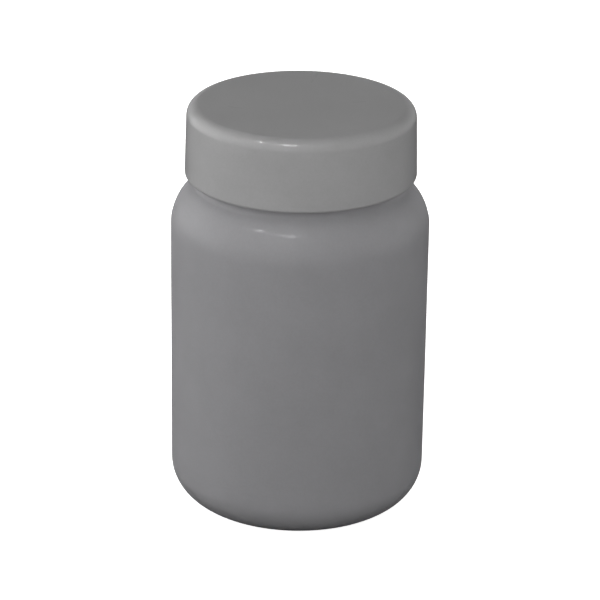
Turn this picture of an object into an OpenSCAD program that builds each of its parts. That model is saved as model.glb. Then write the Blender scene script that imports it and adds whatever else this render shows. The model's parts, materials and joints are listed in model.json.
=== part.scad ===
// Wide-mouth reagent bottle: a blown bottle, a screw cap, and an inner lid that the cap
// carries and that plugs the neck. Millimetres, +Z up, origin at the centre of the ring
// that the bottle stands on.

/* [Body] */
// Outside diameter of the body
body_d = 82; // [66:1:120]
// Height of the straight side, up to where the shoulder starts
side_h = 93.6; // [60:1:160]
// Radius of the rounded corner round the base
base_r = 12.4; // [8:0.1:17]
// Radius of the rounded shoulder
shoulder_r = 15.6; // [11:0.1:22]
// Wall thickness of the body and the shoulder
body_wall = 1.4; // [0.8:0.1:2.2]
// Thickness of the raised middle of the base
base_wall = 1.8; // [1:0.1:3]
// Height of the hollow under the base
hollow_h = 2.4; // [1:0.1:5]
// Width of the ring that the bottle stands on
foot_w = 4.6; // [2:0.1:8]

/* [Neck] */
// How far the neck stands in from the side of the body
neck_inset = 7.8; // [6.5:0.1:10]
// Height of the neck, from the shoulder to the rim
neck_h = 22.4; // [19:0.1:35]
// Wall thickness of the neck
neck_wall = 2.5; // [1.6:0.1:3.5]
// Radius of the fillet between the neck and the shoulder
neck_fillet = 2.4; // [0.8:0.1:3]
// Radius of the rim's two edges
rim_edge_r = 0.6; // [0.2:0.1:0.8]

/* [Thread] */
// Rise of the thread for one turn
thread_pitch = 5; // [4:0.1:6]
// Turns of thread on the neck, and in the cap
thread_turns = 1.5; // [1:0.05:1.6]
// How far the neck's thread stands out
thread_h = 1.3; // [0.8:0.1:1.6]
// Width of the neck's thread where it leaves the neck
thread_w = 3; // [2.4:0.1:3.2]
// How far the cap's thread stands in
cap_thread_h = 1.1; // [0.7:0.1:1.2]
// Width of the cap's thread where it leaves the cap
cap_thread_w = 2.1; // [1.8:0.1:2.3]
// Slope of the thread's sides, in degrees from level
thread_flank = 30; // [15:1:34]
// Distance from the rim down to the top end of the neck's thread
thread_top = 3.8; // [3.4:0.1:6]
// Angle over which each end of a thread fades into its wall
thread_fade = 30; // [15:5:60]

/* [Cap] */
// Thickness of the skirt at its lower edge
cap_wall = 1.8; // [1.7:0.1:3]
// Thickness of the cap's top
cap_roof = 2.4; // [1.8:0.1:3.5]
// Radius of the edge between the cap's top and its side
cap_edge_r = 4; // [1:0.1:4.4]
// How much smaller the skirt's radius is at the top than at its lower edge
cap_draft = 0.5; // [0:0.1:0.8]
// Radius of the skirt's lower outside edge
cap_foot_r = 1.2; // [0.3:0.1:1.2]
// Clear height between the shoulder and the skirt
cap_gap = 2.9; // [1:0.1:6]
// How far the bead that holds the inner lid stands in
bead_h = 0.55; // [0.4:0.05:0.7]

/* [Inner lid] */
// Thickness of the disc that lies on the rim
disc_t = 1.3; // [0.8:0.1:2]
// Depth of the plug below the rim
plug_depth = 8; // [6:0.1:12]
// Wall thickness of the plug
plug_wall = 1.3; // [0.8:0.1:2]
// Radius of the two seal rings round the plug
seal_r = 0.7; // [0.5:0.05:1]
// Diameter of the stiffening ring under the disc
stiff_d = 36; // [20:1:48]
// Width and depth of the stiffening ring
stiff_w = 1.2; // [0.6:0.1:2]

/* [Fits] */
// Clearance between the seal rings and the bore of the neck
seal_gap = 0.05; // [0.02:0.01:0.1]
// Clearance between the plug's wall and the bore of the neck
plug_gap = 0.25; // [0.15:0.05:0.5]
// Clearance between faces that rest on each other
seat_gap = 0.05; // [0.02:0.01:0.1]
// Clearance between the crest of the neck's thread and the cap
crest_gap = 0.3; // [0.2:0.05:0.5]
// Clearance between the sides of the two threads
flank_gap = 0.2; // [0.1:0.05:0.4]
// Clearance round the disc in the cap
disc_gap = 0.25; // [0.15:0.05:0.3]

/* [Hidden] */
$fn = 96;

// Overlap of pieces that are joined
join = 0.4;
// Angle between two sections of a thread
thread_step = 6;
// How far a thread's end sinks below its wall
thread_sink = 0.2;
// Lead-in on the plug's lower edge and on the mouth of the cap
lead_in = 0.8;

// Body
body_r = body_d / 2;
shoulder_x = body_r - shoulder_r;
foot_r = body_r - base_r;
hollow_rim = foot_r - foot_w;
hollow_r = (hollow_rim * hollow_rim + hollow_h * hollow_h) / (2 * hollow_h);

// Neck
neck_r = body_r - neck_inset;
bore_r = neck_r - neck_wall;
neck_z = side_h + shoulder_rise(max(neck_r - shoulder_x, 0), shoulder_r);
rim_z = to_hundredth(neck_z + neck_h);
fillet_x = neck_r + neck_fillet;
fillet_z = side_h + shoulder_rise(fillet_x - shoulder_x, shoulder_r + neck_fillet);

// Thread: the cap's ridge lies under the neck's, flank to flank
thread_slope = tan(thread_flank);
cap_bore_r = neck_r + thread_h + crest_gap;
flank_sum = thread_w + cap_thread_w - 2 * thread_slope * (cap_bore_r - neck_r);
thread_drop = flank_sum / 2 + flank_gap;
thread_end_z = rim_z - thread_top;
thread_start_z = thread_end_z - thread_pitch * thread_turns;
// The cap's thread stops this far short of the end of the neck's
cap_thread_back = 120;
cap_thread_z = thread_start_z - thread_drop - thread_pitch * cap_thread_back / 360;

// Inner lid, which lies between the rim and the cap
disc_z = rim_z + seat_gap;
seat_r = cap_bore_r - bead_h;
disc_r = seat_r - disc_gap;
plug_r = bore_r - plug_gap;
plug_z = rim_z - plug_depth;
seal_x = bore_r - seal_gap - seal_r;

// Cap
cap_r = cap_bore_r + cap_wall;
cap_z = to_hundredth(neck_z + cap_gap);
roof_z = disc_z + disc_t + seat_gap;
cap_top = to_hundredth(roof_z + cap_roof);
cap_top_r = cap_r - cap_draft;
bead_z = disc_z - seat_gap - bead_h;
seat_z = bead_z - 2 * bead_h;

// Height on a circle of radius r above its centre, x away from the centre line
function shoulder_rise(x, r) = sqrt(r * r - x * x);
function to_hundredth(x) = round(x * 100) / 100;

// A rectangle from one corner to the other
module span(x0, z0, x1, z1) {
    translate([x0, z0]) square([x1 - x0, z1 - z0]);
}

module disc_at(x, z, r) {
    translate([x, z]) circle(r = r);
}

// The sliver that rounds off a square corner at [x, z]; dx and dz point into the material
module corner(x, z, r, dx, dz) {
    difference() {
        polygon([
            [x - dx * join, z - dz * join], [x - dx * join, z + dz * r],
            [x + dx * r, z + dz * r], [x + dx * r, z - dz * join]
        ]);
        disc_at(x + dx * r, z + dz * r, r);
    }
}

// Half section of the body and shoulder, its wall taken in by inset
module body_section(inset) {
    span(0, base_r, body_r - inset, side_h);
    span(0, inset, foot_r, base_r + join);
    disc_at(foot_r, base_r, base_r - inset);
    intersection() {
        disc_at(shoulder_x, side_h, shoulder_r - inset);
        span(0, side_h - shoulder_r, body_r, side_h + shoulder_r);
    }
    span(0, side_h - join, shoulder_x, side_h + shoulder_r - inset);
}

module neck_fillet_section() {
    difference() {
        polygon([
            [neck_r - join, fillet_z],
            [fillet_x, fillet_z],
            [
                shoulder_x + (fillet_x - shoulder_x) * shoulder_r / (shoulder_r + neck_fillet),
                side_h + (fillet_z - side_h) * shoulder_r / (shoulder_r + neck_fillet)
            ],
            [neck_r - join, neck_z - join]
        ]);
        disc_at(fillet_x, fillet_z, neck_fillet);
    }
}

module bottle_section() {
    difference() {
        union() {
            body_section(0);
            span(0, side_h, neck_r, rim_z);
            neck_fillet_section();
        }
        // inside
        difference() {
            body_section(body_wall);
            disc_at(0, hollow_h - hollow_r, hollow_r + base_wall);
        }
        span(0, side_h, bore_r, rim_z + join);
        // hollow under the base
        disc_at(0, hollow_h - hollow_r, hollow_r);
        // edges of the rim
        corner(neck_r, rim_z, rim_edge_r, -1, -1);
        corner(bore_r, rim_z, rim_edge_r, 1, -1);
    }
}

// A ridge on a helix. It stands on a wall of radius wall_r, outwards with way = 1 and
// inwards with way = -1, and starts at height z at the angle turn_from.
module thread_ridge(wall_r, way, height, width, z, turn_from) {
    sections = round(thread_turns * 360 / thread_step);
    function fade(i) = min(1, min(i, sections - i) * thread_step / thread_fade);
    function stands(i) = -thread_sink + (height + thread_sink) * fade(i);
    function section(i) = let (
        a = turn_from + i * thread_step,
        h = stands(i),
        root = width / 2 + join * thread_slope,
        crest = width / 2 - h * thread_slope,
        mid = z + thread_pitch * i * thread_step / 360
    ) [
        for (p = [[-join, -root], [h, -crest], [h, crest], [-join, root]])
            [(wall_r + way * p[0]) * cos(a), (wall_r + way * p[0]) * sin(a), mid + p[1]]
    ];
    points = [for (i = [0 : sections]) each section(i)];
    sides = [
        for (i = [0 : sections - 1], k = [0 : 3])
            let (a = 4 * i + k, b = 4 * i + (k + 1) % 4)
            each way > 0
                ? [[a, b, b + 4], [a, b + 4, a + 4]]
                : [[a, b + 4, b], [a, a + 4, b + 4]]
    ];
    last = 4 * sections;
    ends = way > 0
        ? [[3, 2, 1, 0], [last, last + 1, last + 2, last + 3]]
        : [[0, 1, 2, 3], [last + 3, last + 2, last + 1, last]];
    polyhedron(points = points, faces = concat(sides, ends), convexity = 4);
}

module bottle() {
    color("#818086") {
        rotate_extrude() bottle_section();
        thread_ridge(neck_r, 1, thread_h, thread_w, thread_start_z, 0);
    }
}

module lid_section() {
    difference() {
        union() {
            span(0, disc_z, disc_r, disc_z + disc_t);
            span(plug_r - plug_wall, plug_z, plug_r, disc_z + join);
            for (depth = [0.3, 0.7])
                disc_at(seal_x, rim_z - plug_depth * depth, seal_r);
            span((stiff_d - stiff_w) / 2, disc_z - stiff_w, (stiff_d + stiff_w) / 2, disc_z + join);
        }
        // lead-in
        polygon([
            [plug_r - lead_in - join, plug_z - join], [plug_r + join, plug_z - join],
            [plug_r + join, plug_z + lead_in + join]
        ]);
        // edges of the disc
        corner(disc_r, disc_z + disc_t, disc_t / 3, -1, -1);
        corner(disc_r, disc_z, disc_t / 3, -1, 1);
    }
}

module inner_lid() {
    color("#9a9a9c") rotate_extrude() lid_section();
}

module cap_section() {
    difference() {
        union() {
            polygon([
                [0, cap_top],
                [cap_top_r - cap_edge_r, cap_top],
                [cap_top_r - cap_edge_r, cap_top - cap_edge_r],
                [cap_top_r, cap_top - cap_edge_r],
                [cap_r, cap_z + cap_foot_r],
                [cap_r - cap_foot_r, cap_z + cap_foot_r],
                [cap_r - cap_foot_r, cap_z],
                [0, cap_z]
            ]);
            disc_at(cap_top_r - cap_edge_r, cap_top - cap_edge_r, cap_edge_r);
            disc_at(cap_r - cap_foot_r, cap_z + cap_foot_r, cap_foot_r);
        }
        difference() {
            polygon([
                [0, cap_z - join],
                [cap_bore_r + lead_in, cap_z - join],
                [cap_bore_r + lead_in / 2, cap_z],
                [cap_bore_r, cap_z + lead_in],
                [cap_bore_r, seat_z - bead_h],
                [seat_r, seat_z],
                [seat_r, roof_z],
                [0, roof_z]
            ]);
            disc_at(seat_r, bead_z, bead_h);
        }
    }
}

module screw_cap() {
    color("#8f8f8f") {
        rotate_extrude() cap_section();
        thread_ridge(cap_bore_r, -1, cap_thread_h, cap_thread_w, cap_thread_z, -cap_thread_back);
    }
}

bottle();
inner_lid();
screw_cap();
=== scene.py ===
import json
from math import acos, atan2, cos, degrees, hypot, pi, radians, sin, sqrt, tan

import bpy
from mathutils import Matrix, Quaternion, Vector, noise


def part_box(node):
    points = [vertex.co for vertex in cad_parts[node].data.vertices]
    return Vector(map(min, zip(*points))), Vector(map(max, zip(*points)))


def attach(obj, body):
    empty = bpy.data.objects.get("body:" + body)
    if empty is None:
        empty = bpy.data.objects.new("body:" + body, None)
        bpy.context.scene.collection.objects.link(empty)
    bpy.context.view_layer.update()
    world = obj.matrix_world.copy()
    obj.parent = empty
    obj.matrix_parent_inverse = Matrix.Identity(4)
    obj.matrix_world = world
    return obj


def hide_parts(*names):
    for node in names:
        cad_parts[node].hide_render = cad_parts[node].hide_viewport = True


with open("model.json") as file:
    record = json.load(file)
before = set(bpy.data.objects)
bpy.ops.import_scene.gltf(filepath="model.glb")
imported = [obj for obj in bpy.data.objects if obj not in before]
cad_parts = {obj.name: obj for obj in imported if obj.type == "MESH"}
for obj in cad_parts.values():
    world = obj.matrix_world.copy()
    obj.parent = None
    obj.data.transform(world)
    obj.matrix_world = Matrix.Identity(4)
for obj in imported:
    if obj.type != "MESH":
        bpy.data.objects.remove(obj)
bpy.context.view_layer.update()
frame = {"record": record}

# A wide-mouth polyethylene reagent bottle: a blown bottle, a smooth screw cap, and the
# inner lid that the cap carries. Sizes are in metres. The outer heights and radii come from
# the frame, and the rest are the walls, rounds and clearances of the moulded pieces.

MM = 0.001

# Nearer than this, two points of an outline are one, and so are two vertices of a mesh
SAME_POINT = 0.01 * MM
SAME_VERTEX = 0.005 * MM


def to_tenth(length):
    """The length to the nearest tenth of a millimetre, clear of the frame's rounding."""
    return round(length, 4)


# Bottle
BODY_R = to_tenth(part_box("bottle")[1].x)
RIM_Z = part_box("bottle")[1].z
SIDE_TOP = 93.6 * MM
BASE_ROUND = 12.4 * MM
SHOULDER_ROUND = 15.6 * MM
WALL = 1.4 * MM
BASE_WALL = 1.8 * MM
HOLLOW_RISE = 2.4 * MM
FOOT_W = 4.6 * MM
NECK_R = BODY_R - 7.8 * MM
NECK_WALL = 2.5 * MM
NECK_FILLET = 2.4 * MM
RIM_ROUND = 0.6 * MM
# The hollow of the base is part of a ball: its edge at the foot, its radius and its centre
HOLLOW_EDGE = BODY_R - BASE_ROUND - FOOT_W
HOLLOW_R = (HOLLOW_EDGE**2 + HOLLOW_RISE**2) / (2 * HOLLOW_RISE)
HOLLOW_Z = HOLLOW_RISE - HOLLOW_R

# Threads, on the neck and in the cap
PITCH = frame["record"]["behaviour"]["couplings"][0]["ratio"] * 2 * pi
THREAD_TURNS = 1.5
THREAD_H = 1.3 * MM
THREAD_W = 3.0 * MM
CAP_THREAD_H = 1.1 * MM
CAP_THREAD_W = 2.1 * MM
FLANK = radians(30)
THREAD_TOP = 3.8 * MM
THREAD_FADE = radians(30)
CAP_THREAD_BACK = radians(120)
CREST_GAP = 0.3 * MM
FLANK_GAP = 0.2 * MM
THREAD_START = RIM_Z - THREAD_TOP - PITCH * THREAD_TURNS

# Inner lid
LID_GAP = 0.05 * MM
DISC_Z = RIM_Z + LID_GAP
DISC_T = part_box("inner_lid")[1].z - DISC_Z
DISC_R = to_tenth(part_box("inner_lid")[1].x)
PLUG_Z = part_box("inner_lid")[0].z
PLUG_WALL = 1.3 * MM
PLUG_GAP = 0.25 * MM
SEAL_R = 0.7 * MM
SEAL_GAP = 0.05 * MM
# How far down the plug each seal ring is
UPPER_SEAL, LOWER_SEAL = 0.3, 0.7
# The stiffening ring under the disc, as wide as it is deep
STIFF_R = 18 * MM
STIFF_W = 1.2 * MM
# The chamfer at the foot of the plug, and at the mouth of the cap
LEAD_IN = 0.8 * MM
# The recessed gate mark under the disc, with the stub of plastic left in it
GATE_R = 2.2 * MM
GATE_DEPTH = 0.25 * MM
STUB_R = 0.6 * MM
# The round marks of the three ejector pins
EJECTOR_R = 2.5 * MM
EJECTOR_OUT = 24 * MM
EJECTOR_DEPTH = 0.15 * MM
EJECTOR_TURNS = (90, 210, 330)

# Cap
CAP_R = to_tenth(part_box("screw_cap")[1].x)
CAP_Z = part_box("screw_cap")[0].z
CAP_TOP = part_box("screw_cap")[1].z
CAP_BORE = NECK_R + THREAD_H + CREST_GAP
CAP_DRAFT = 0.5 * MM
CAP_EDGE = 4.0 * MM
CAP_FOOT = 1.2 * MM
BEAD_H = 0.55 * MM
SEAT_R = CAP_BORE - BEAD_H
ROOF_Z = DISC_Z + DISC_T + LID_GAP

# Columns round each turned piece, the height of a row where a thread is raised, and how
# near to the wall a vertex has to be for the thread to lift it
COLUMNS = 192
THREAD_ROW = 0.25 * MM
ON_WALL = 0.02 * MM
# An edge that turns by more than this stays sharp
SHARP_EDGE = radians(35)


# ---------------------------------------------------------------- outlines

def arc(x, z, radius, start, end, steps):
    """Points (radius, height) on an arc round (x, z), in degrees up from outwards."""
    turns = [radians(start + (end - start) * i / steps) for i in range(steps + 1)]
    return [(x + radius * cos(a), z + radius * sin(a)) for a in turns]


def line(start, end, steps):
    """Points that cut a straight stretch into even steps."""
    (x, z), across, up = start, end[0] - start[0], end[1] - start[1]
    return [(x + across * i / steps, z + up * i / steps) for i in range(steps + 1)]


def thread_rows(x, low, high):
    """Close rows on a wall from low to high, fine enough to raise a thread on."""
    return line((x, low), (x, high), round(abs(high - low) / THREAD_ROW))


def without_repeats(points):
    """The outline with each point that only repeats the one before it left out."""
    kept = points[:1]
    for point in points[1:]:
        if hypot(point[0] - kept[-1][0], point[1] - kept[-1][1]) > SAME_POINT:
            kept.append(point)
    return kept


def bottle_outline():
    """Up the outside from the middle of the base, over the rim and down the inside."""
    foot_x = BODY_R - BASE_ROUND
    shoulder_x = BODY_R - SHOULDER_ROUND
    fillet_x = NECK_R + NECK_FILLET
    fillet_reach = SHOULDER_ROUND + NECK_FILLET
    fillet_z = SIDE_TOP + sqrt(fillet_reach**2 - (fillet_x - shoulder_x)**2)
    fillet_turn = degrees(atan2(fillet_z - SIDE_TOP, fillet_x - shoulder_x))
    bore_x = NECK_R - NECK_WALL
    inner_round = SHOULDER_ROUND - WALL
    bore_turn = degrees(acos((bore_x - shoulder_x) / inner_round))
    bore_z = SIDE_TOP + inner_round * sin(radians(bore_turn))
    floor_r = HOLLOW_R + BASE_WALL
    floor_up = WALL - HOLLOW_Z
    floor_turn = degrees(atan2(floor_up, sqrt(floor_r**2 - floor_up**2)))
    outside = (
        arc(0, HOLLOW_Z, HOLLOW_R, 90, degrees(atan2(-HOLLOW_Z, HOLLOW_EDGE)), 14)
        + line((HOLLOW_EDGE, 0), (foot_x, 0), 4)
        + arc(foot_x, BASE_ROUND, BASE_ROUND, -90, 0, 18)
        + line((BODY_R, BASE_ROUND), (BODY_R, SIDE_TOP), 32)
        + arc(shoulder_x, SIDE_TOP, SHOULDER_ROUND, 0, fillet_turn, 20)
        + arc(fillet_x, fillet_z, NECK_FILLET, 180 + fillet_turn, 180, 8)
        + thread_rows(NECK_R, fillet_z, RIM_Z - RIM_ROUND)
        + arc(NECK_R - RIM_ROUND, RIM_Z - RIM_ROUND, RIM_ROUND, 0, 90, 6)
    )
    inside = (
        arc(bore_x + RIM_ROUND, RIM_Z - RIM_ROUND, RIM_ROUND, 90, 180, 6)
        + line((bore_x, RIM_Z - RIM_ROUND), (bore_x, bore_z), 12)
        + arc(shoulder_x, SIDE_TOP, inner_round, bore_turn, 0, 14)
        + line((BODY_R - WALL, SIDE_TOP), (BODY_R - WALL, BASE_ROUND), 16)
        + arc(foot_x, BASE_ROUND, BASE_ROUND - WALL, 0, -90, 12)
        + arc(0, HOLLOW_Z, floor_r, floor_turn, 90, 12)
    )
    return without_repeats(outside + inside)


def cap_outline():
    """Down the outside from the middle of the top, and up the inside past the bead."""
    top_r = CAP_R - CAP_DRAFT
    bead_z = DISC_Z - LID_GAP - BEAD_H
    seat_z = bead_z - 2 * BEAD_H
    outside = (
        line((0, CAP_TOP), (top_r - CAP_EDGE, CAP_TOP), 12)
        + arc(top_r - CAP_EDGE, CAP_TOP - CAP_EDGE, CAP_EDGE, 90, 0, 16)
        + line((top_r, CAP_TOP - CAP_EDGE), (CAP_R, CAP_Z + CAP_FOOT), 18)
        + arc(CAP_R - CAP_FOOT, CAP_Z + CAP_FOOT, CAP_FOOT, 0, -90, 8)
    )
    inside = (
        [(CAP_BORE + LEAD_IN / 2, CAP_Z)]
        + thread_rows(CAP_BORE, CAP_Z + LEAD_IN, seat_z - BEAD_H)
        + [(SEAT_R, seat_z)]
        + arc(SEAT_R, bead_z, BEAD_H, 270, 90, 10)
        + line((SEAT_R, ROOF_Z), (0, ROOF_Z), 10)
    )
    return without_repeats(outside + inside)


def lid_outline():
    """Round the disc's edge, down the plug past its seal rings, and back under the disc."""
    bore_x = NECK_R - NECK_WALL
    plug_r = bore_x - PLUG_GAP
    seal_x = bore_x - SEAL_GAP - SEAL_R
    seal_turn = degrees(acos((plug_r - seal_x) / SEAL_R))
    depth = RIM_Z - PLUG_Z
    edge = DISC_T / 3
    top = DISC_Z + DISC_T
    stiff_out, stiff_in = STIFF_R + STIFF_W / 2, STIFF_R - STIFF_W / 2
    gate_z = DISC_Z + GATE_DEPTH
    return without_repeats(
        line((0, top), (DISC_R - edge, top), 10)
        + arc(DISC_R - edge, top - edge, edge, 90, 0, 6)
        + arc(DISC_R - edge, DISC_Z + edge, edge, 0, -90, 6)
        + [(plug_r, DISC_Z)]
        + arc(seal_x, RIM_Z - UPPER_SEAL * depth, SEAL_R, seal_turn, -seal_turn, 8)
        + arc(seal_x, RIM_Z - LOWER_SEAL * depth, SEAL_R, seal_turn, -seal_turn, 8)
        + [(plug_r, PLUG_Z + LEAD_IN), (plug_r - LEAD_IN, PLUG_Z)]
        + line((plug_r - PLUG_WALL, PLUG_Z), (plug_r - PLUG_WALL, DISC_Z), 6)
        + [(stiff_out, DISC_Z), (stiff_out, DISC_Z - STIFF_W)]
        + [(stiff_in, DISC_Z - STIFF_W), (stiff_in, DISC_Z)]
        + line((stiff_in, DISC_Z), (GATE_R, DISC_Z), 8)
        + line((GATE_R - GATE_DEPTH, gate_z), (STUB_R, gate_z), 3)
        + arc(0, gate_z, STUB_R, 0, -90, 5)[1:]
    )


# ---------------------------------------------------------------- shaping

def edit(piece):
    """Make the piece the only one selected, and open it in edit mode."""
    bpy.ops.object.select_all(action="DESELECT")
    piece.select_set(True)
    bpy.context.view_layer.objects.active = piece
    bpy.ops.object.mode_set(mode="EDIT")


def turned(name, outline):
    """Draw an outline from a single vertex, spin it about the Z axis and close its seam."""
    bpy.ops.object.select_all(action="DESELECT")
    bpy.ops.mesh.primitive_plane_add(size=MM)
    piece = bpy.context.object
    piece.name = name
    piece.data.name = name
    bpy.ops.object.mode_set(mode="EDIT")
    bpy.ops.mesh.select_mode(type="VERT")
    bpy.ops.mesh.merge(type="CENTER")
    first = outline[0]
    bpy.ops.transform.translate(value=(first[0], 0, first[1]))
    for here, there in zip(outline, outline[1:]):
        step = (there[0] - here[0], 0, there[1] - here[1])
        bpy.ops.mesh.extrude_vertices_move(TRANSFORM_OT_translate={"value": step})
    bpy.ops.mesh.select_all(action="SELECT")
    bpy.ops.mesh.spin(steps=COLUMNS, angle=2 * pi, center=(0, 0, 0), axis=(0, 0, 1))
    bpy.ops.mesh.select_all(action="SELECT")
    bpy.ops.mesh.remove_doubles(threshold=SAME_VERTEX)
    bpy.ops.mesh.normals_make_consistent(inside=False)
    bpy.ops.object.mode_set(mode="OBJECT")
    return piece


def eased(t):
    """0 below 0, 1 above 1, and a smooth rise between."""
    t = min(1, max(0, t))
    return t * t * (3 - 2 * t)


def raise_thread(piece, wall_r, way, height, width, start_z, start_turn):
    """Raise a rounded ridge along a helix on the wall of radius wall_r.

    The way is 1 for a ridge that stands outwards, and -1 for one that stands inwards.
    """
    flank = height * tan(FLANK)
    length = THREAD_TURNS * 2 * pi
    for vertex in piece.data.vertices:
        x, y, z = vertex.co
        radius = hypot(x, y)
        if abs(radius - wall_r) > ON_WALL:
            continue
        turn = (atan2(y, x) - start_turn) % (2 * pi)
        rise = 0
        while turn <= length:
            off = abs(z - start_z - PITCH * turn / (2 * pi))
            fade = eased(min(turn, length - turn) / THREAD_FADE)
            rise = max(rise, height * fade * eased((width / 2 - off) / flank))
            turn += 2 * pi
        if rise > 0:
            grown = (wall_r + way * rise) / radius
            vertex.co = (x * grown, y * grown, z)
    piece.data.update()


def faces_out(vertex):
    """Whether a vertex is on the outside, where the normal points away from the axis."""
    return vertex.normal.x * vertex.co.x + vertex.normal.y * vertex.co.y > 0


# ---------------------------------------------------------------- bottle

# The stretch of the outside that the two halves of the blow mould shape
BLOWN_FOOT = 1 * MM
BLOWN_TOP = SIDE_TOP + 0.8 * SHOULDER_ROUND
# The seam that the two halves leave down the sides
SEAM_W = 0.4 * MM
SEAM_H = 0.06 * MM
# How far the blown wall wanders from a true round, over what length, and where it fades out
WANDER = 0.07 * MM
WANDER_LENGTH = 32 * MM
WANDER_FADE = 8 * MM
# The weld across the base, where the mould pinched the tube shut
WELD_W = 0.9 * MM
WELD_H = 0.35 * MM
WELD_L = 36 * MM
WELD_CELLS = (60, 12)


def blown_zone(vertex):
    """Whether a vertex is on the outside below the neck."""
    return faces_out(vertex) and BLOWN_FOOT < vertex.co.z < BLOWN_TOP


def put(places):
    """Move vertices to new places, once all of the places have been worked out."""
    for vertex, place in places:
        vertex.co = place


def let_wall_wander(bottle):
    """Move the blown outside a little, mostly inwards, but not at the foot or the neck."""
    places = []
    for vertex in filter(blown_zone, bottle.data.vertices):
        z = vertex.co.z
        fade = eased((z - BLOWN_FOOT) / WANDER_FADE) * eased((BLOWN_TOP - z) / WANDER_FADE)
        pull = (0.5 - noise.noise(vertex.co / WANDER_LENGTH)) * WANDER * fade
        away = Vector((vertex.co.x, vertex.co.y, 0)).normalized()
        places.append((vertex, vertex.co - away * pull))
    put(places)


def raise_mould_seam(bottle):
    """Bevel the edges that lie in the parting plane, and lift the middle of each bevel."""
    def in_plane(vertex):
        return abs(vertex.co.y) < SAME_POINT and blown_zone(vertex)

    mesh = bottle.data
    edit(bottle)
    bpy.ops.mesh.select_mode(type="EDGE")
    bpy.ops.mesh.select_all(action="DESELECT")
    bpy.ops.object.mode_set(mode="OBJECT")
    mesh.update()
    for edge in mesh.edges:
        edge.select = all(in_plane(mesh.vertices[v]) for v in edge.vertices)
    bpy.ops.object.mode_set(mode="EDIT")
    bpy.ops.mesh.bevel(offset=SEAM_W / 2, segments=2, profile=0.5, affect="EDGES")
    bpy.ops.object.mode_set(mode="OBJECT")
    mesh.update()
    put([(v, v.co + v.normal * SEAM_H) for v in mesh.vertices if in_plane(v)])


def add_base_weld(bottle):
    """A low rounded rib that follows the hollow of the base, joined to the bottle."""
    bpy.ops.object.select_all(action="DESELECT")
    cells_x, cells_y = WELD_CELLS
    bpy.ops.mesh.primitive_grid_add(x_subdivisions=cells_x, y_subdivisions=cells_y, size=1)
    weld = bpy.context.object
    bpy.ops.object.mode_set(mode="EDIT")
    bpy.ops.transform.resize(value=(WELD_L, WELD_W, 1))
    bpy.ops.object.mode_set(mode="OBJECT")
    for vertex in weld.data.vertices:
        x, y, _ = vertex.co
        along = min(1, abs(x) / (WELD_L / 2))
        across = min(1, abs(y) / (WELD_W / 2))
        ceiling = HOLLOW_Z + sqrt(HOLLOW_R**2 - x * x - y * y)
        vertex.co.z = ceiling - WELD_H * sqrt(1 - across**2) * (1 - along**6)
    edit(weld)
    bpy.ops.mesh.select_all(action="SELECT")
    thickness = (0, 0, 2 * WELD_H)
    bpy.ops.mesh.extrude_region_move(TRANSFORM_OT_translate={"value": thickness})
    bpy.ops.mesh.select_all(action="SELECT")
    bpy.ops.mesh.normals_make_consistent(inside=False)
    bpy.ops.object.mode_set(mode="OBJECT")
    bottle.select_set(True)
    bpy.context.view_layer.objects.active = bottle
    bpy.ops.object.join()


def make_bottle():
    """The blown bottle, with its thread, its mould seam and the weld across its base."""
    bottle = turned("bottle_shell", bottle_outline())
    raise_thread(bottle, NECK_R, 1, THREAD_H, THREAD_W, THREAD_START, 0)
    let_wall_wander(bottle)
    raise_mould_seam(bottle)
    add_base_weld(bottle)
    return bottle


# ---------------------------------------------------------------- cap and inner lid

def make_cap():
    """The cap, with its thread just under the neck's and started further back."""
    cap = turned("cap_shell", cap_outline())
    flank_sum = THREAD_W + CAP_THREAD_W - 2 * tan(FLANK) * (CAP_BORE - NECK_R)
    drop = flank_sum / 2 + FLANK_GAP
    start_z = THREAD_START - drop - PITCH * CAP_THREAD_BACK / (2 * pi)
    size = (CAP_THREAD_H, CAP_THREAD_W)
    raise_thread(cap, CAP_BORE, -1, *size, start_z, -CAP_THREAD_BACK)
    return cap


def press_ejector_marks(lid):
    """Cut three shallow round marks in the underside of the disc."""
    marks = []
    for turn in map(radians, EJECTOR_TURNS):
        bpy.ops.mesh.primitive_cylinder_add(
            vertices=48,
            radius=EJECTOR_R,
            depth=2 * EJECTOR_DEPTH,
            location=(EJECTOR_OUT * cos(turn), EJECTOR_OUT * sin(turn), DISC_Z),
        )
        marks.append(bpy.context.object)
    for mark in marks:
        cut = lid.modifiers.new(mark.name, "BOOLEAN")
        cut.operation = "DIFFERENCE"
        cut.solver = "EXACT"
        cut.object = mark
        bpy.context.view_layer.objects.active = lid
        bpy.ops.object.modifier_apply(modifier=cut.name)
    for mark in marks:
        bpy.data.objects.remove(mark)
    edit(lid)
    bpy.ops.mesh.select_all(action="SELECT")
    bpy.ops.mesh.remove_doubles(threshold=SAME_VERTEX)
    bpy.ops.mesh.dissolve_degenerate(threshold=SAME_VERTEX)
    bpy.ops.mesh.quads_convert_to_tris(quad_method="BEAUTY", ngon_method="BEAUTY")
    bpy.ops.object.mode_set(mode="OBJECT")


def make_lid():
    """The inner lid, with the marks that its mould leaves under the disc."""
    lid = turned("lid_insert", lid_outline())
    press_ejector_marks(lid)
    return lid


# ---------------------------------------------------------------- materials

# The scale of a pattern is in cells to the metre

# Cloudy tone: the share of fine grain in it, and how far it lightens and darkens a colour
GRAIN_SHARE = 0.35
TONE_SWING = 0.05
# How high the fine peel of the skin stands against its broad sinks
PEEL_HEIGHT = 0.2
# Scratches: cells drawn out upright and level, the noise that breaks them up and the level
# above which they stay, how deep they are against the sinks, and how much rougher
UPRIGHT_CELLS = (1, 1, 0.12)
LEVEL_CELLS = (0.15, 0.2, 1)
BREAK_SCALE = 110
BREAK_LEVEL = 0.62
SCRATCH_DEPTH = 0.04
SCRATCH_ROUGHNESS = 0.12
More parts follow.
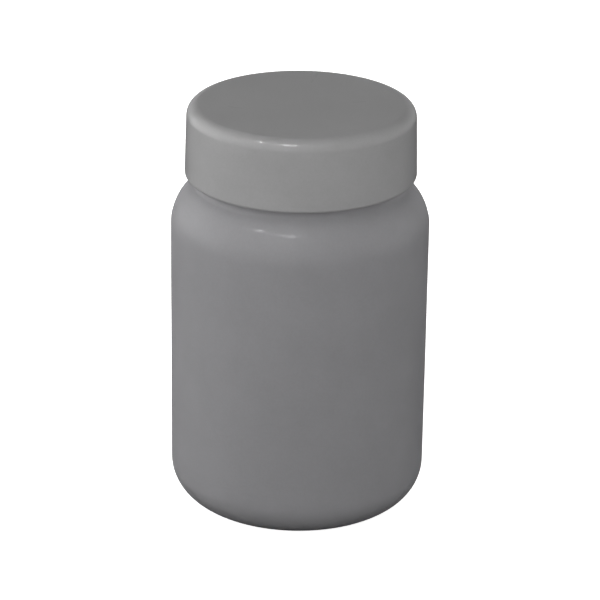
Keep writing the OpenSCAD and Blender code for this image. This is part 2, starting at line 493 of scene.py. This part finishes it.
# How much the roughness changes with the tone
ROUGHNESS_SWING = 0.04
# How far light travels within the plastic
GLOW_DEPTH = 3 * MM
# The middle stretch of a noise, which holds nearly all of it
NOISE_LOW, NOISE_HIGH = 0.3, 0.7


def new_group(name, inputs, output):
    """A shader node group with float inputs and one float output, and its two ends."""
    group = bpy.data.node_groups.new(name, "ShaderNodeTree")
    sockets, kind = group.interface, "NodeSocketFloat"
    for label, value in inputs:
        socket = sockets.new_socket(label, in_out="INPUT", socket_type=kind)
        socket.default_value = value
    sockets.new_socket(output, in_out="OUTPUT", socket_type=kind)
    ends = group.nodes.new("NodeGroupInput"), group.nodes.new("NodeGroupOutput")
    return group, *ends


def math_node(tree, operation, *values):
    """A Math node, with each value either a number or a socket to link."""
    node = tree.nodes.new("ShaderNodeMath")
    node.operation = operation
    for socket, value in zip(node.inputs, values):
        if isinstance(value, (int, float)):
            socket.default_value = value
        else:
            tree.links.new(value, socket)
    return node.outputs["Value"]


def noise_node(tree, vector, scale, detail, roughness=0.5):
    """A Noise Texture on the given coordinates; the scale is a number or a socket."""
    node = tree.nodes.new("ShaderNodeTexNoise")
    node.inputs["Detail"].default_value = detail
    node.inputs["Roughness"].default_value = roughness
    tree.links.new(vector, node.inputs["Vector"])
    if isinstance(scale, (int, float)):
        node.inputs["Scale"].default_value = scale
    else:
        tree.links.new(scale, node.inputs["Scale"])
    return node.outputs["Fac"]


def object_coords(tree, stretch=(1, 1, 1)):
    """Object coordinates, squeezed along each axis by the given scales."""
    coords = tree.nodes.new("ShaderNodeTexCoord")
    mapping = tree.nodes.new("ShaderNodeMapping")
    mapping.inputs["Scale"].default_value = stretch
    tree.links.new(coords.outputs["Object"], mapping.inputs["Vector"])
    return mapping.outputs["Vector"]


def melt_clouds_group():
    """Cloudy tone of moulded polyethylene: broad patches with fine grain in them."""
    scales = (("Patch Scale", 60), ("Grain Scale", 1500))
    group, ins, outs = new_group("melt_clouds", scales, "Tone")
    coords = object_coords(group)
    patches = noise_node(group, coords, ins.outputs["Patch Scale"], 4, roughness=0.7)
    grain = noise_node(group, coords, ins.outputs["Grain Scale"], 2)
    broad = math_node(group, "MULTIPLY", patches, 1 - GRAIN_SHARE)
    mixed = math_node(group, "MULTIPLY_ADD", grain, GRAIN_SHARE, broad)
    group.links.new(mixed, outs.inputs["Tone"])
    return group


def skin_group():
    """The skin that a mould leaves: a fine peel, with broad shallow sinks under it."""
    scales = (("Peel Scale", 900), ("Sink Scale", 70))
    group, ins, outs = new_group("mould_skin", scales, "Height")
    coords = object_coords(group)
    peel = noise_node(group, coords, ins.outputs["Peel Scale"], 2)
    sink = noise_node(group, coords, ins.outputs["Sink Scale"], 1)
    height = math_node(group, "MULTIPLY_ADD", peel, PEEL_HEIGHT, sink)
    group.links.new(height, outs.inputs["Height"])
    return group


def scratches_group():
    """Fine handling scratches: the borders of long cells, broken into short lengths."""
    sizes = (("Scale", 90), ("Width", 0.012))
    group, ins, outs = new_group("fine_scratches", sizes, "Mask")
    mask = None
    for stretch in (UPRIGHT_CELLS, LEVEL_CELLS):
        cells = group.nodes.new("ShaderNodeTexVoronoi")
        cells.feature = "DISTANCE_TO_EDGE"
        group.links.new(object_coords(group, stretch), cells.inputs["Vector"])
        group.links.new(ins.outputs["Scale"], cells.inputs["Scale"])
        off = math_node(group, "DIVIDE", cells.outputs["Distance"], ins.outputs["Width"])
        groove = math_node(group, "MAXIMUM", math_node(group, "SUBTRACT", 1, off), 0)
        mask = groove if mask is None else math_node(group, "MAXIMUM", mask, groove)
    patches = noise_node(group, object_coords(group), BREAK_SCALE, 2)
    kept = math_node(group, "GREATER_THAN", patches, BREAK_LEVEL)
    group.links.new(math_node(group, "MULTIPLY", mask, kept), outs.inputs["Mask"])
    return group


def place_group(tree, group, **values):
    """Put a node group in a material, with its inputs set by name."""
    node = tree.nodes.new("ShaderNodeGroup")
    node.node_tree = group
    for label, value in values.items():
        node.inputs[label.replace("_", " ")].default_value = value
    return node


def ranged(tree, value, middle, swing):
    """A noise spread evenly from a swing below the middle to a swing above it."""
    node = tree.nodes.new("ShaderNodeMapRange")
    node.inputs["From Min"].default_value = NOISE_LOW
    node.inputs["From Max"].default_value = NOISE_HIGH
    node.inputs["To Min"].default_value = middle - swing
    node.inputs["To Max"].default_value = middle + swing
    tree.links.new(value, node.inputs["Value"])
    return node.outputs["Result"]


def tinted(tree, colour, tone):
    """The colour times a tone that changes over the surface."""
    scale = tree.nodes.new("ShaderNodeVectorMath")
    scale.operation = "SCALE"
    scale.inputs[0].default_value = colour
    tree.links.new(tone, scale.inputs["Scale"])
    return scale.outputs["Vector"]


def plain_plastic(name, colour, roughness):
    """A material with its colour and roughness set, its node tree and its shader."""
    material = bpy.data.materials.new(name)
    material.use_nodes = True
    shader = material.node_tree.nodes["Principled BSDF"]
    shader.inputs["Base Color"].default_value = (*colour, 1)
    shader.inputs["Roughness"].default_value = roughness
    return material, material.node_tree, shader


def polyethylene(name, colour, roughness, gloss, groups):
    """Satin polyethylene: cloudy tone, a mould's skin, fine scratches, some glow within.

    The gloss is the weight and the roughness of the smooth skin on top.
    """
    clouds, skin, scratches = groups
    coat_weight, coat_roughness = gloss
    material, tree, shader = plain_plastic(name, colour, roughness)
    for label, value in (
        ("IOR", 1.5),
        ("Specular IOR Level", 0.18),
        ("Coat Weight", coat_weight),
        ("Coat Roughness", coat_roughness),
        ("Subsurface Weight", 0.5),
        ("Subsurface Radius", (1.0, 1.0, 1.0)),
        ("Subsurface Scale", GLOW_DEPTH),
    ):
        shader.inputs[label].default_value = value
    tone = place_group(tree, clouds, Patch_Scale=55, Grain_Scale=1400).outputs["Tone"]
    surface = place_group(tree, skin, Peel_Scale=800, Sink_Scale=75).outputs["Height"]
    marks = place_group(tree, scratches, Scale=80, Width=0.01).outputs["Mask"]
    cloudy = tinted(tree, colour, ranged(tree, tone, 1, TONE_SWING))
    tree.links.new(cloudy, shader.inputs["Base Color"])
    patchy = ranged(tree, tone, roughness, ROUGHNESS_SWING)
    worn = math_node(tree, "MULTIPLY_ADD", marks, SCRATCH_ROUGHNESS, patchy)
    tree.links.new(worn, shader.inputs["Roughness"])
    bump = tree.nodes.new("ShaderNodeBump")
    bump.inputs["Strength"].default_value = 0.25
    bump.inputs["Distance"].default_value = 0.1 * MM
    height = math_node(tree, "MULTIPLY_ADD", marks, -SCRATCH_DEPTH, surface)
    tree.links.new(height, bump.inputs["Height"])
    tree.links.new(bump.outputs["Normal"], shader.inputs["Normal"])
    return material


# ---------------------------------------------------------------- light and camera

# The camera: how far it looks down, its roll, its distance, its lens and sensor in
# millimetres, and where it aims
LOOK_DOWN = radians(22.52)
ROLL = radians(0.79)
STAND_OFF = 23.07 * BODY_R
LENS = 176.9
SENSOR = 36
AIM = Vector((0.007 * BODY_R, 0, 1.629 * BODY_R))


def softbox(name, azimuth, elevation, power, distance=0.65, size=(0.8, 0.6), sheen=False):
    """An area light that faces the middle of the bottle: a soft fill, or only a sheen.

    The azimuth is in degrees rightwards from the front, the elevation in degrees above
    level, and the power in watts.
    """
    data = bpy.data.lights.new(name, "AREA")
    data.shape = "RECTANGLE"
    data.size, data.size_y = size
    data.energy = power
    light = bpy.data.objects.new(name, data)
    bpy.context.scene.collection.objects.link(light)
    turn, lift = radians(azimuth), radians(elevation)
    away = Vector((sin(turn) * cos(lift), -cos(turn) * cos(lift), sin(lift)))
    light.location = away * distance + Vector((0, 0, RIM_Z / 2))
    light.rotation_euler = away.to_track_quat("Z", "Y").to_euler()
    light.visible_camera = False
    light.visible_glossy = sheen
    light.visible_diffuse = not sheen


def make_lights():
    """Fills all round the bottle, two broad sheens, and two small lamps for the glints."""
    softbox("left_rim", -105, 14, 4.7)
    softbox("left_low", -40, 12, 1.5)
    softbox("left_high", -40, 41, 1.55)
    softbox("front_low", 0, 13, 2.35)
    softbox("front_high", 0, 41, 1.4)
    softbox("right_fill", 60, 13, 1.2)
    softbox("right_rim", 105, 13, 2.5)
    softbox("back_fill", 180, 12, 2.2)
    softbox("left_sheen", -105, 20, 1.4, sheen=True)
    softbox("front_sheen", -40, 20, 0.5, sheen=True)
    softbox("strip", -14, 54, 1.3, distance=0.8, size=(0.18, 0.04), sheen=True)
    softbox("spot", -52, 54, 0.9, distance=0.8, size=(0.06, 0.04), sheen=True)


def make_camera():
    """A long lens, a little above the bottle, with a hand-held camera's slight tilt."""
    away = Vector((0, -cos(LOOK_DOWN), sin(LOOK_DOWN)))
    tilt = Quaternion((0, 0, 1), ROLL)
    data = bpy.data.cameras.new("camera")
    data.sensor_width = SENSOR
    data.lens = LENS
    camera = bpy.data.objects.new("camera", data)
    bpy.context.scene.collection.objects.link(camera)
    camera.location = AIM + away * STAND_OFF
    camera.rotation_euler = (away.to_track_quat("Z", "Y") @ tilt).to_euler()
    bpy.context.scene.camera = camera


def make_floor():
    """A pale, evenly lit table that throws no light back on the bottle."""
    bpy.ops.object.select_all(action="DESELECT")
    bpy.ops.mesh.primitive_plane_add(size=12)
    floor = bpy.context.object
    floor.name = "floor"
    floor.visible_diffuse = False
    floor.visible_glossy = False
    material, _, shader = plain_plastic("table_top", (0.8, 0.8, 0.8), 0.9)
    shader.inputs["Specular IOR Level"].default_value = 0
    shader.inputs["Emission Color"].default_value = (1, 1, 1, 1)
    shader.inputs["Emission Strength"].default_value = 0.85
    floor.data.materials.append(material)


def make_world():
    """A dark room with one pale band, low down behind the bottle."""
    world = bpy.data.worlds.new("studio")
    world.use_nodes = True
    tree = world.node_tree
    background = tree.nodes["Background"]
    coords = tree.nodes.new("ShaderNodeTexCoord")
    parts = tree.nodes.new("ShaderNodeSeparateXYZ")
    tree.links.new(coords.outputs["Generated"], parts.inputs["Vector"])
    # Each row is an axis, and two places along it with the brightness at each
    band = 1
    for socket, low, high in (
        ("Y", (-0.1, 0), (0.1, 0.37)),
        ("Z", (0.15, 1), (0.45, 0)),
        ("Z", (-0.3, 0), (0.0, 1)),
    ):
        ramp = tree.nodes.new("ShaderNodeMapRange")
        ramp.interpolation_type = "SMOOTHSTEP"
        for end, (place, level) in (("Min", low), ("Max", high)):
            ramp.inputs[f"From {end}"].default_value = place
            ramp.inputs[f"To {end}"].default_value = level
        tree.links.new(parts.outputs[socket], ramp.inputs["Value"])
        band = math_node(tree, "MULTIPLY", band, ramp.outputs["Result"])
    tree.links.new(band, background.inputs["Color"])
    bpy.context.scene.world = world


make_camera()
make_floor()
make_world()
make_lights()

groups = melt_clouds_group(), skin_group(), scratches_group()
for make, node, body, slot, colour, roughness, gloss in (
    (
        make_bottle, "bottle", "bottle", "bottle_plastic",
        (0.2, 0.1985, 0.205), 0.48, (0.12, 0.15),
    ),
    (
        make_cap, "screw_cap", "cap", "cap_plastic",
        (0.245, 0.244, 0.245), 0.45, (0.6, 0.08),
    ),
    (
        make_lid, "inner_lid", "lid", "lid_plastic",
        (0.3, 0.3, 0.3), 0.4, (0.2, 0.12),
    ),
):
    piece = make()
    material = polyethylene(slot, colour, roughness, gloss, groups)
    piece.data.materials.clear()
    piece.data.materials.append(material)
    bpy.ops.object.select_all(action="DESELECT")
    piece.select_set(True)
    bpy.context.view_layer.objects.active = piece
    bpy.ops.object.shade_smooth_by_angle(angle=SHARP_EDGE)
    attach(piece, body)
    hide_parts(node)

bpy.context.scene.view_settings.view_transform = "Standard"
